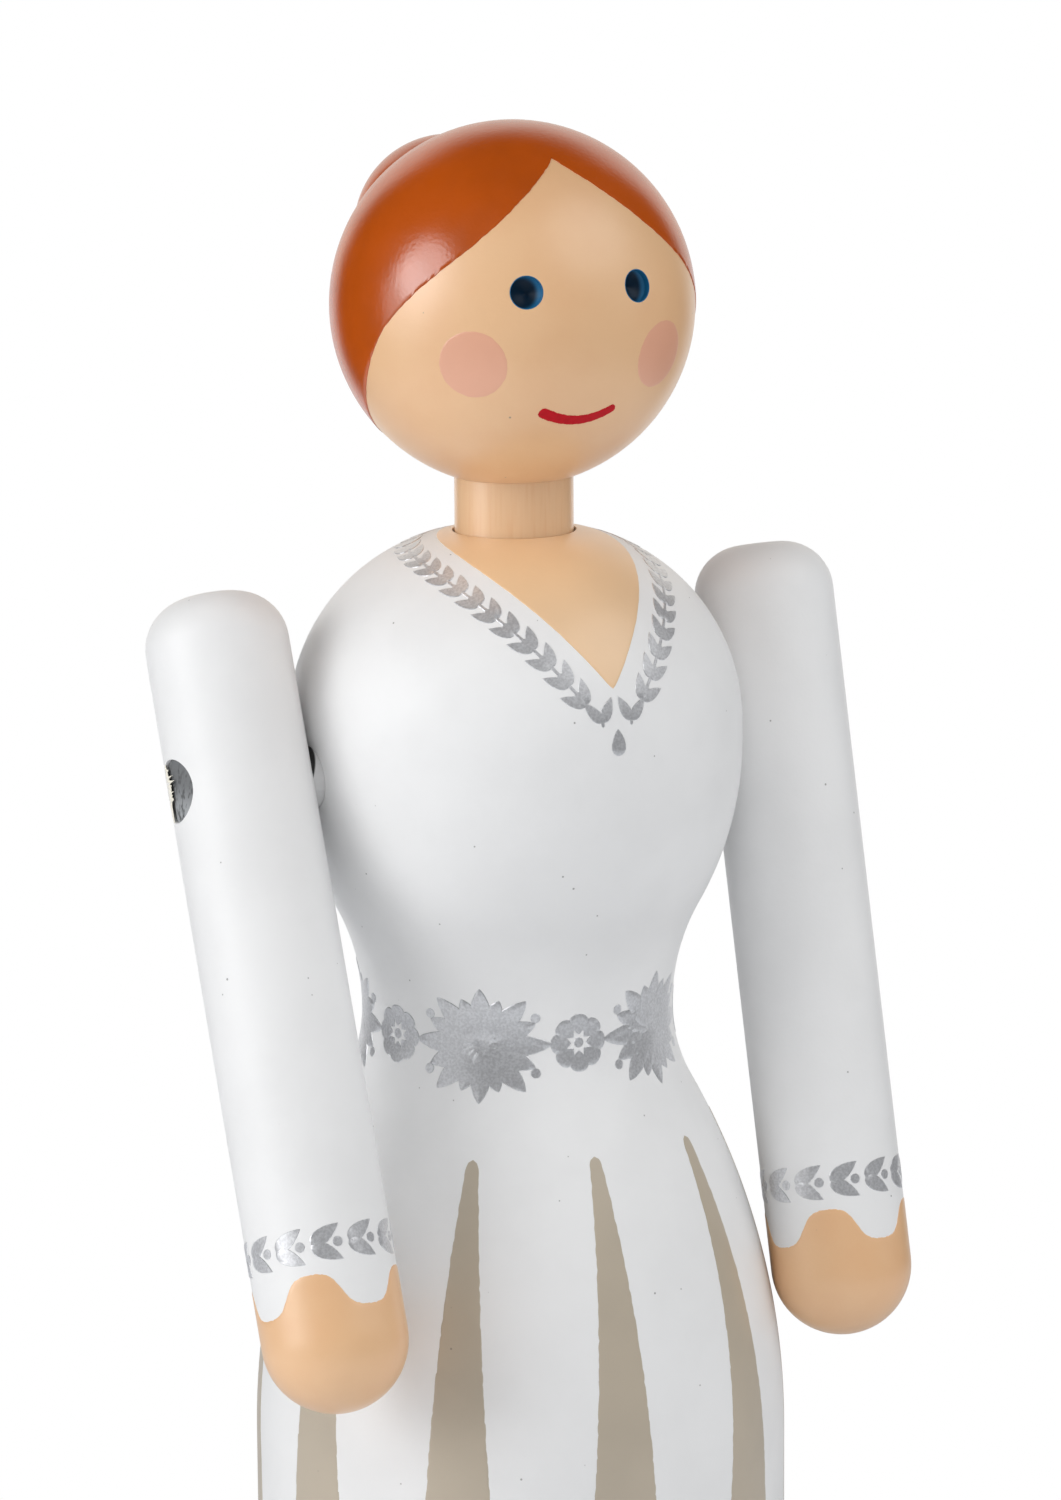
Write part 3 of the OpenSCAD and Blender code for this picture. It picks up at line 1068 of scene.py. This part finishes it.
def eye_floor():
    """Outline of a drilled eye from the middle of its dished floor to the top of its wall.

    The drill's point leaves a pit in the middle, as deep as depth exp(-(r / spread)²).
    """
    p = marks()
    rim = math.sqrt(sizes().head_radius ** 2 - p.eye_radius ** 2)
    floor = rim - p.eye_wall
    radius = (p.eye_radius ** 2 + p.eye_dish ** 2) / (2 * p.eye_dish)
    half = math.asin(p.eye_radius / radius)
    dish = arc((0, floor - p.eye_dish + radius), radius, -math.pi / 2, half - math.pi / 2)
    dish[0, 0] = 0
    pit_depth = 0.18 * MM
    pit_spread = 0.4 * MM
    dish[:, 1] -= pit_depth * np.exp(-((dish[:, 0] / pit_spread) ** 2))
    return joined(dish, path((p.eye_radius, floor), (p.eye_radius, rim)))


def eye_place(side):
    """Place of an eye's axis: side -1 is the figure's right."""
    return pointing(side * marks().eye_azimuth, marks().eye_elevation)


def eye_tool(side):
    """Drill of an eye, with a mouth that rounds the rim."""
    cup = eye_floor()
    rim = cup[-1, 1]
    radius = marks().eye_radius
    rounding = 0.05 * MM
    lip = arc((radius + rounding, rim - rounding), rounding, math.pi, math.pi / 2)
    mouth = radius + 3 * rounding
    top = sizes().head_radius + rounding
    cover = path(lip[-1], (mouth, top), (0, top))
    outline = joined(cup[:-1], path((radius, rim - rounding), lip[0]), lip, cover)
    return closed_grid(Turned(outline, eye_place(side)).rings(around=72))


def hairline(azimuth):
    """Elevation of the edge of the hair: a parting over the brow, then down to the ears and round the nape.

    The knots are degrees from the middle of the face, the same on both sides, and degrees of elevation.
    """
    peak = math.degrees(marks().hair_peak)
    brow = ((0, peak), (12, 47.6), (35, 26.7), (55, 10))
    nape = ((66.5, -1.2), (82, -21.6), (100, -39), (140, -49), (180, -51))
    return np.radians(smooth_through(brow + nape, np.degrees(from_front(azimuth))))


class FIGURE_OT_hair(bpy.types.Operator):
    """Painted cap of hair and the bun"""

    bl_idname = "figure.hair"
    bl_label = "Hair"

    def execute(self, context):
        s = sizes()
        turn = full_turn(480)
        edge = hairline(turn) + wander(turn, (31, 53, 89, 131), 0.0025, seed=3)
        crown = head_run(math.pi / 2)
        reach = head_run(edge) - crown
        cap = patch(head_surface(), turn, crown, reach, size=40 * MM, rings=48, coat=1.4 * marks().coat)
        dress(shape("hair_cap", cap), "head", "hair_lacquer")

        flat, seat = bun_seat()
        ball = arc((0, seat + s.bun_lift), s.bun_radius, -math.asin(s.bun_lift / s.bun_radius), math.pi / 2)
        outline = joined(path((0, seat), (flat, seat)), ball)
        bun = Turned(outline, pointing(math.pi, s.bun_elevation))
        dress(shape("bun_lacquered", closed_grid(bun.rings())), "head", "hair_lacquer", "hair_bun")
        return {"FINISHED"}


def eye_lining(side):
    """Film of paint over the floor and the wall of a drilled eye."""
    cup = eye_floor()
    slope = np.gradient(cup, axis=0)
    inward = np.column_stack((-slope[:, 1], slope[:, 0])) / np.linalg.norm(slope, axis=1)[:, None]
    inner = cup + inward * marks().coat
    outer = cup - inward * SUNK
    inner[0, 0] = outer[0, 0] = 0
    return closed_grid(Turned(np.concatenate((outer, inner[::-1])), eye_place(side)).rings(around=72))


def cheek_spot(azimuth):
    """Round film of a cheek with a slightly unsteady rim."""
    p = marks()
    turn = full_turn(120)
    edge = p.cheek_radius + wander(turn, (5, 9, 14, 23), 0.02 * MM, seed=11)
    surface = head_surface(pointing(azimuth, p.cheek_elevation))
    pole = head_run(math.pi / 2)
    return patch(surface, turn, pole, -edge, size=p.cheek_radius, rings=14, coat=0.5 * p.coat)


def painted_mouth():
    """Brush stroke of the mouth: an arc with round ends, a little narrower towards the figure's left."""
    p = marks()
    t = np.linspace(-1, 1, 97)
    ends = 1 - np.clip((np.abs(t) - 0.9) / 0.1, 0, 1) ** 2
    unsteady = 1 + wander(t * np.pi, (7, 13, 29, 41), 0.05, seed=5)
    half_width = p.mouth_stroke / 2 * np.sqrt(ends) * unsteady * (1 - 0.12 * t)
    run = head_run(p.mouth_elevation + p.mouth_rise * t * t)
    return closed_grid(stroke(head_surface(), p.mouth_width * t, run, half_width, 0.9 * p.coat))


class FIGURE_OT_face(bpy.types.Operator):
    """Paint of the eyes, cheeks and mouth"""

    bl_idname = "figure.face"
    bl_label = "Face"

    def execute(self, context):
        p = marks()
        for name, side in SIDES.items():
            dress(shape(f"{name}_eye_paint", eye_lining(side)), "head", "eye_blue")
        for name, azimuth in (("right", p.right_cheek), ("left", p.left_cheek)):
            dress(shape(f"{name}_cheek", cheek_spot(azimuth)), "head", "cheek_pink")
        dress(shape("mouth", painted_mouth()), "head", "lip_red")
        return {"FINISHED"}


class FIGURE_OT_stripes(bpy.types.Operator):
    """Stripes that widen down the skirt"""

    bl_idname = "figure.stripes"
    bl_label = "Skirt stripes"

    def execute(self, context):
        p = marks()
        surface = body_surface()
        down = np.linspace(0, 1, 260)
        height = p.stripe_top + (sizes().hem_radius - p.stripe_top) * down
        below = p.stripe_top - height
        half_width = p.stripe_tip + p.stripe_spread * below - p.stripe_ease * below ** 2
        round_end = 0.8 * MM
        tip = np.sqrt(1 - (1 - np.clip(below / round_end, 0, 1)) ** 2)
        run = surface.run_at(height)
        shells = []
        for i in range(p.stripe_count):
            turn = p.stripe_turn + i * 2 * np.pi / p.stripe_count
            unsteady = wander(down * 2 * np.pi, (17, 29, 43, 61), 0.028 * MM, 20 + i)
            azimuth = np.full_like(down, turn) + wander(down * 2 * np.pi, (11, 23, 37, 53), 0.0009, 40 + i)
            ribbon = stroke(surface, azimuth, run, half_width * tip + unsteady * tip, p.coat)
            shells.append(closed_grid(ribbon))
        dress(shape("skirt_stripes", together(*shells)), "torso", "taupe_lacquer")
        return {"FINISHED"}


class FIGURE_OT_neckline(bpy.types.Operator):
    """Bare skin of the neckline and the silver garland round it"""

    bl_idname = "figure.neckline"
    bl_label = "Neckline"

    def execute(self, context):
        coat = marks().coat
        surface = body_surface()
        turn = full_turn(480)
        edge = neckline_run(surface, turn) + wander(turn, (29, 47, 71, 113), 0.02 * MM, seed=7)
        mouth = surface.run[-1]
        # Even rings from the neck out, and closer ones that round the edge
        rings = 24
        place = np.concatenate((np.linspace(0, 1, rings)[:-1], (0.985, 0.995, 1)))
        rise = np.concatenate((np.full(rings, coat), (0.7 * coat, 0)))
        run = mouth + place[:, None] * (edge - mouth)
        skin = ring_grid(film(surface, turn, run, rise))
        dress(shape("neckline_skin", skin), "torso", "skin_lacquer", coat="chest_lacquer")

        garland = together(*neckline_garland(surface))
        dress(shape("neckline_silver", garland), "torso", "silver_paint")
        return {"FINISHED"}


def neckline_garland(surface):
    """Shells of the garland: leaf pairs with berries between them, from the tip up and round to the back.

    Below the tip both branches hang on: with u from 0 to 1 downwards, the distance from the middle is
    end + (foot - end) (1 - u) ^ bend.
    """
    p = marks()
    half_breadth = 1.35 * MM
    away = np.linspace(1e-4, np.pi, 900)
    run = neckline_run(surface, away)
    sideways = np.gradient(away) * surface.radius_at(run)
    rise = np.gradient(run)
    stretch = np.hypot(sideways, rise)
    offset = p.neckline_strip + half_breadth
    path_run = run - offset * sideways / stretch
    path_away = away + offset * rise / stretch / surface.radius_at(path_run)

    end = 1.5 * MM
    fall = 2.5 * MM
    foot = path_away[0] * surface.radius_at(path_run[0])
    down = np.linspace(1, 0, 60)[:-1]
    bend = fall * sideways[0] / rise[0] / (foot - end)
    path_run = np.concatenate((path_run[0] - fall * down, path_run))
    hang = (end + (foot - end) * (1 - down) ** bend) / surface.radius_at(path_run[: len(down)])
    path_away = np.concatenate((hang, path_away))
    steps = np.hypot(np.diff(path_away) * surface.radius_at(path_run[1:]), np.diff(path_run))
    way = np.concatenate(([0], np.cumsum(steps)))

    def along(distance):
        """Azimuth and run at a distance along the branch."""
        return np.interp(distance, way, path_away), np.interp(distance, way, path_run)

    pairs = int(way[-1] / p.garland_pitch)
    stations = (np.arange(pairs) + 0.75) * way[-1] / pairs
    where_away, where_run = along(stations)
    look_ahead = 0.5 * MM
    next_away, next_run = along(stations + look_ahead)
    heading = np.arctan2(next_run - where_run, (next_away - where_away) * surface.radius_at(where_run))
    berry_away, berry_run = along(stations[:-1] + 0.55 * p.garland_pitch)

    stem_foot = 0.4 * MM
    stem = way > stations[0] - stem_foot
    half_width = np.full(np.count_nonzero(stem), 0.16 * MM)
    shells = []
    for side in (1, -1):
        ribbon = stroke(surface, side * path_away[stem], path_run[stem], half_width, 0.8 * p.coat, across=8)
        shells.append(closed_grid(ribbon[::4]))
    blade = leaf(size=2.6 * MM, width=1.15 * MM, start=0.12 * MM)
    dot = berry(0.36 * MM)
    spread = math.radians(32)
    for side in (1, -1):
        facing = heading if side > 0 else np.pi - heading
        for tilt in (spread, -spread):
            shells.append(ornaments(surface, blade, side * where_away, where_run, facing + tilt))
        shells.append(ornaments(surface, dot, side * berry_away, berry_run, facing[:-1]))
    drop = petal(size=2.6 * MM, width=1.5 * MM, start=-1.3 * MM)
    below_tip = 5.1 * MM
    shells.append(ornaments(surface, drop, [0.0], [run[0] - below_tip], [-np.pi / 2]))
    return shells


class FIGURE_OT_belt(bpy.types.Operator):
    """Silver belt of small and large rosettes in turn, with berries between them"""

    bl_idname = "figure.belt"
    bl_label = "Belt"

    def execute(self, context):
        p = marks()
        surface = body_surface()
        middle = surface.run_at(p.belt_height)
        radius = surface.radius_at(middle)
        turns = p.stripe_turn + full_turn(p.belt_repeats)
        shells = []

        def row(outline, across=0.0, up=0.0, heading=0.0):
            """Adds an outline to every repeat, at a place across and up from the small rosette's middle."""
            azimuth = turns + across / radius
            run = np.full_like(turns, middle + up)
            shells.append(ornaments(surface, outline, azimuth, run, np.full_like(turns, heading)))

        for heading in full_turn(8):
            row(petal(size=2.1 * MM, width=1.9 * MM, start=0.75 * MM), heading=heading)
        row(berry(0.5 * MM))
        half_way = np.pi / p.belt_repeats * radius
        # The leaves are longer along the belt than across it, and long and short in turn
        for heading in full_turn(16):
            size = (4.9 + 1.2 * math.cos(heading) ** 2 + 0.5 * math.cos(8 * heading)) * MM
            row(leaf(size, width=2.3 * MM, start=0.3 * MM, taper=0.5), half_way, heading=heading)
        row(berry(0.9 * MM), half_way)
        berry_across = 4.3 * MM
        berry_up = 2.7 * MM
        for side in (-1, 1):
            for up in (-1, 1):
                row(berry(0.5 * MM), side * berry_across, up * berry_up)
        dress(shape("belt_silver", together(*shells)), "torso", "silver_paint")
        return {"FINISHED"}


class FIGURE_OT_hands(bpy.types.Operator):
    """Painted hands and silver cuffs of both arms"""

    bl_idname = "figure.hands"
    bl_label = "Hands and cuffs"

    def execute(self, context):
        p = marks()
        turn = -full_turn(360)
        flatness = 1.6
        wave = np.tanh(flatness * np.cos(p.sleeve_waves * (turn - p.sleeve_turn))) / math.tanh(flatness)
        height = p.sleeve_end + p.sleeve_wave * wave
        for seed, side in enumerate(SIDES, start=60):
            surface = arm_surface(side)
            edge = surface.run_at(height) + wander(turn, (37, 59, 83, 127), 0.03 * MM, seed)
            skin = patch(surface, turn, 0.0, edge, size=14 * MM, rings=30, coat=p.coat)
            dress(shape(f"{side}_hand_skin", skin), f"{side}_arm", "skin_lacquer")
            cuff = together(*cuff_garland(surface))
            dress(shape(f"{side}_cuff_silver", cuff), f"{side}_arm", "silver_paint")
        return {"FINISHED"}


def cuff_garland(surface):
    """Shells of a cuff: leaf pairs that follow each other round the sleeve, with berries between them."""
    p = marks()
    azimuth = full_turn(p.cuff_repeats)
    run = np.full_like(azimuth, surface.run_at(p.cuff_height))
    pitch = 2 * np.pi / p.cuff_repeats
    blade = leaf(size=3.3 * MM, width=1.5 * MM, start=0.1 * MM)
    dot = berry(0.5 * MM)
    spread = math.radians(30)
    return [
        ornaments(surface, blade, azimuth, run, np.full_like(azimuth, spread)),
        ornaments(surface, blade, azimuth, run, np.full_like(azimuth, -spread)),
        ornaments(surface, dot, azimuth + 0.72 * pitch, run, np.zeros_like(azimuth)),
    ]


def direction(azimuth, elevation):
    """Unit vector towards an azimuth, counted from the front towards +X, and an elevation."""
    flat = math.cos(elevation)
    return Vector((math.sin(azimuth) * flat, -math.cos(azimuth) * flat, math.sin(elevation)))


# Azimuth, elevation (degrees), distance, width, height (metres) of each lamp, and whether gloss shows it
LAMPS = {
    "panel": (-95, 8, 0.5, 0.32, 0.4, True),
    "key": (-87, 23, 0.75, 0.5, 0.5, True),
    "fill": (38, 43, 0.8, 0.8, 0.6, True),
    "low": (-16, 0, 0.9, 0.6, 0.2, False),
    "side": (60, 10, 0.9, 0.6, 0.4, False),
    "top": (-45, 48, 0.9, 0.6, 0.5, False),
}


class FIGURE_OT_stage(bpy.types.Operator):
    """Camera, lamps, white background and pale floor"""

    bl_idname = "figure.stage"
    bl_label = "Stage"

    def execute(self, context):
        stage = context.scene.stage_settings
        context.scene.view_settings.view_transform = "Standard"
        self.camera(context, stage)
        for name, lamp in LAMPS.items():
            self.soft_lamp(context, stage, name, *lamp)
        self.world(context, stage)
        self.floor(stage)
        return {"FINISHED"}

    def camera(self, context, stage):
        """Camera at the photograph's angle: a turn, a height, a roll and an aim."""
        away = direction(stage.azimuth, stage.elevation)
        right = Vector((math.cos(stage.azimuth), math.sin(stage.azimuth), 0))
        aim = right * stage.aim_side + Vector((0, 0, stage.aim_height))
        axes = Matrix((right, away.cross(right), away)).transposed().to_4x4()
        data = bpy.data.cameras.new("camera")
        data.lens = stage.lens
        camera = bpy.data.objects.new("camera", data)
        camera.matrix_world = (
            Matrix.Translation(aim + away * stage.distance) @ axes @ Matrix.Rotation(stage.roll, 4, "Z")
        )
        context.scene.collection.objects.link(camera)
        context.scene.camera = camera

    def soft_lamp(self, context, stage, name, azimuth, elevation, distance, width, height, in_gloss):
        """Oval soft lamp that shines at the middle of the figure."""
        data = bpy.data.lights.new(name, "AREA")
        data.shape = "ELLIPSE"
        data.size = width
        data.size_y = height
        data.energy = getattr(stage, f"{name}_watts")
        away = direction(math.radians(azimuth), math.radians(elevation))
        middle = Vector((0, 0, stage.aim_height))
        turned = away.to_track_quat("Z", "Y").to_matrix().to_4x4()
        lamp = bpy.data.objects.new(name, data)
        lamp.matrix_world = Matrix.Translation(middle + away * distance) @ turned
        lamp.visible_glossy = in_gloss
        context.scene.collection.objects.link(lamp)

    def world(self, context, stage):
        """White to the eye, even light on the figure, and in gloss a white backdrop and a dim studio."""
        world = bpy.data.worlds.new("studio")
        context.scene.world = world
        world.cycles.sampling_method = "NONE"
        f = Finish(world)
        looking = f.node("TexCoord", output="Generated")
        backdrop = self.behind(f, stage, looking) * (1 - f.ramp(f.part("Z", looking), 0.4, 0.78))
        gloss = stage.studio + (1 - stage.studio) * backdrop
        glossy = f.ray("Glossy")
        strength = stage.ambient + glossy * (gloss - stage.ambient)
        seen = f.maths("MAXIMUM", f.ray("Camera"), f.ray("Transmission"))
        strength = strength + seen * (1 - strength)
        tint = f.mixed(glossy, (1, 1, 1), (1, 0.95, 0.87))
        background = f.node("Background", {}, {"Color": tint, "Strength": strength})
        f.node("OutputWorld", {}, {"Surface": background})

    def behind(self, f, stage, place):
        """Share of the white backdrop: 1 behind the figure as the camera sees it, 0 at its sides."""
        level = f.vectors("NORMALIZE", f.vectors("MULTIPLY", place, (1, 1, 0)))
        ahead = f.vectors("DOT_PRODUCT", level, -direction(stage.azimuth, 0.0), "Value")
        return f.ramp(ahead, 0.74, 0.88)

    def floor(self, stage):
        """Round floor, matt near the figure, where its shadow lies, and fading to white away from it."""
        turn = full_turn(96)
        radius = np.array((0.0, 0.1, 0.2, 0.5, 3.0))[:, None]
        level = np.zeros((len(radius), len(turn)))
        rings = np.stack((radius * np.sin(turn), -radius * np.cos(turn), level), axis=-1)
        thickness = 5 * MM
        floor = shape("floor", closed_grid(np.concatenate((rings - (0, 0, thickness), rings[::-1]))))
        material = bpy.data.materials.new("finish_floor_paper")
        f = Finish(material)
        paper = f.node("BsdfPrincipled", {}, {"Base Color": (0.84, 0.86, 0.89, 1), "Roughness": 0.8})
        away = f.vectors("LENGTH", f.here(), output="Value")
        camera = f.ray("Camera")
        white = f.maths("MAXIMUM", camera, self.behind(f, stage, f.here()))
        glow = f.node("Emission", {}, {"Color": f.mixed(white, (stage.studio,) * 3, (1, 1, 1))})
        to_eye = stage.floor_white + (1 - stage.floor_white) * f.ramp(away, 0.03, 0.085)
        in_gloss = f.ramp(away, 0.22, 0.32)
        share = camera * to_eye + f.ray("Glossy") * in_gloss
        mixed = f.node("MixShader", {}, {0: share, 1: paper, 2: glow})
        f.node("OutputMaterial", {}, {"Surface": mixed})
        floor.data.materials.append(material)


OPERATORS = (
    FIGURE_OT_stage, FIGURE_OT_body, FIGURE_OT_dowels, FIGURE_OT_arms, FIGURE_OT_head, FIGURE_OT_hair,
    FIGURE_OT_face, FIGURE_OT_stripes, FIGURE_OT_neckline, FIGURE_OT_belt, FIGURE_OT_hands,
)


class FIGURE_PT_panel(bpy.types.Panel):
    """Lists the pieces of the figure"""

    bl_idname = "FIGURE_PT_panel"
    bl_label = "Wooden bride figure"
    bl_space_type = "VIEW_3D"
    bl_region_type = "UI"
    bl_category = "Figure"

    def draw(self, context):
        for operator in OPERATORS:
            self.layout.operator(operator.bl_idname)


GROUPS = {
    "figure_sizes": FigureSizes,
    "paint_sizes": PaintSizes,
    "figure_colours": FigureColours,
    "stage_settings": StageSettings,
}


def register():
    for group in GROUPS.values():
        bpy.utils.register_class(group)
    for name, group in GROUPS.items():
        setattr(bpy.types.Scene, name, bpy.props.PointerProperty(type=group))
    for cls in (*OPERATORS, FIGURE_PT_panel):
        bpy.utils.register_class(cls)


def unregister():
    for cls in (FIGURE_PT_panel, *reversed(OPERATORS)):
        bpy.utils.unregister_class(cls)
    for name, group in GROUPS.items():
        delattr(bpy.types.Scene, name)
        bpy.utils.unregister_class(group)


def main():
    """Makes the figure piece by piece."""
    register()
    bpy.ops.figure.stage()
    bpy.ops.figure.body()
    bpy.ops.figure.dowels()
    bpy.ops.figure.arms()
    bpy.ops.figure.head()
    bpy.ops.figure.hair()
    bpy.ops.figure.face()
    bpy.ops.figure.stripes()
    bpy.ops.figure.neckline()
    bpy.ops.figure.belt()
    bpy.ops.figure.hands()


if __name__ == "__main__":
    main()
